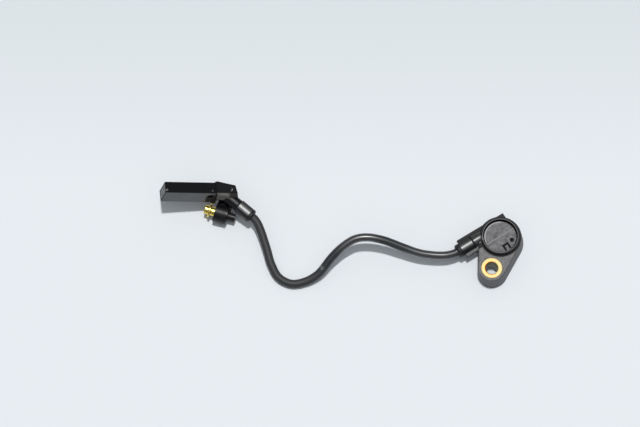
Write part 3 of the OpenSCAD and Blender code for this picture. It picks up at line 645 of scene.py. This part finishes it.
# Flange bush: a brass sleeve turned on a lathe and moulded into the flange to take the screw's load. Fine
# rings run round it. The left of its chamfer and bore is painted copper-toned, painted light on the lit
# inner wall, and below 9.8 mm it is painted a dull dark grey.
def brass_metal(name, dark, light, rough):
    """Turned brass: rings along the outline change the roughness and the surface, stains the tone."""
    material, tree, shader = new_material(name)
    rings = add_node(tree, "Mapping", Vector=add_node(tree, "UVMap").outputs["UV"], Scale=(9000, 2, 1))
    cut = add_node(tree, "TexNoise", Vector=rings.outputs["Vector"], Scale=1.0, Detail=2.0)
    place = add_node(tree, "TexCoord").outputs["Object"]
    stain = add_node(tree, "TexNoise", Vector=place, Scale=500.0, Detail=3.0)
    colour = add_node(tree, "MixRGB", Fac=stain.outputs["Fac"], Color1=(*dark, 1), Color2=(*light, 1))
    matt = add_node(tree, "MapRange", Value=cut.outputs["Fac"], From_Min=0.3, From_Max=0.7,
                    To_Min=rough[0], To_Max=rough[1])
    groove = add_node(tree, "Bump", Strength=0.6, Distance=0.000006, Height=cut.outputs["Fac"])
    tree.links.new(colour.outputs["Color"], shader.inputs["Base Color"])
    tree.links.new(matt.outputs["Result"], shader.inputs["Roughness"])
    tree.links.new(groove.outputs["Normal"], shader.inputs["Normal"])
    shader.inputs["Metallic"].default_value = 1.0
    return material


flange_brass = brass_metal("flange_brass", (0.84, 0.66, 0.30), (0.93, 0.79, 0.45), (0.64, 0.76))
tree = flange_brass.node_tree
place, bush_axes = own_frame(tree, (0, 0, 0), (0, 0, 0))
flat = add_node(tree, "VectorMath", "MULTIPLY", _0=place, _1=(1, 1, 0))
radius = add_node(tree, "VectorMath", "LENGTH", _0=flat.outputs["Vector"]).outputs["Value"]
# Painted light: the left of the chamfer and bore is painted copper-toned.
copper_painted_light = all_of(tree, inside(tree, radius, 0, 0.0041, 0.0006),
                inside(tree, bush_axes["X"], -0.01, -0.0002, 0.003))
coat(flange_brass, copper_painted_light, (0.78, 0.42, 0.13), 0.55)
# Below 9.8 mm the bush is painted a dull dark grey.
coat(flange_brass, inside(tree, bush_axes["Z"], -0.001, 0.0098, 0.0004), (0.32, 0.31, 0.26), 0.6)
outline = [(3.3, 0), (5.65, 0), (5.65, 10.5), (5.45, 10.7), (3.7, 10.7), (3.3, 10.3)]
flange_bush = turned("flange_bush_turned", rounded_loop(outline, 0.12), (0, 0, 0), (0, 0, 1), 128)
flange_bush.data.materials.append(flange_brass)
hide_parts("flange_bush")

# Lug bush: a smaller brass bush, bright from the lathe, with a collar against the boss and a nose that
# stands out of it.
lug_brass = brass_metal("lug_brass", (0.72, 0.52, 0.10), (0.86, 0.68, 0.20), (0.2, 0.32))
outline = [(1.7, -5.7), (2.2, -5.7), (2.5, -5.4), (2.5, -3.4), (3.6, -3.4), (3.9, -3.1), (3.9, -2.4),
           (2.5, -2.4), (2.5, 0), (2.9, 0), (2.9, 5.95), (1.7, 5.95)]
boss_half = 3.5
lug_foot = lug_place - boss_half * lug_turn[:, 0]
lug_bush = turned("lug_bush_turned", rounded_loop(outline, 0.15), lug_foot, lug_turn[:, 0])
lug_bush.data.materials.append(lug_brass)
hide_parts("lug_bush")


# Wiring inside: gilt contact pins in the head's foot, red cores soldered to them, tinned crimps on the
# probe's ends of the cores, and bronze strips along the tongue to the sensing element.
def metal(name, dark, light, rough):
    """Bright metal: its colour drifts from dark to light, and its roughness between two values."""
    material = plastic(name, dark, light, rough, grain_depth=0.000004)
    material.node_tree.nodes["Principled BSDF"].inputs["Metallic"].default_value = 1.0
    return material


gilt = metal("gilt", (0.80, 0.60, 0.28), (0.92, 0.76, 0.42), (0.22, 0.38))
bronze = metal("bronze", (0.62, 0.40, 0.22), (0.76, 0.52, 0.32), (0.28, 0.42))
tinned = metal("tinned", (0.50, 0.50, 0.48), (0.66, 0.66, 0.64), (0.3, 0.45))
sintered = metal("sintered", (0.24, 0.24, 0.25), (0.36, 0.36, 0.37), (0.4, 0.55))
insulation = plastic("insulation", (0.20, 0.035, 0.025), (0.32, 0.065, 0.05), (0.38, 0.5),
                     grain_depth=0.00001)
epoxy = plastic("epoxy", (0.008, 0.008, 0.009), (0.016, 0.016, 0.017), (0.5, 0.62), grain_depth=0.00001)
for name, material in {"contact_pins": gilt, "head_cores": insulation, "probe_cores": insulation,
                       "core_crimps": tinned, "lead_strips": bronze, "bias_magnet": sintered,
                       "hall_element": epoxy}.items():
    nodes[name].data.materials.clear()
    nodes[name].data.materials.append(material)
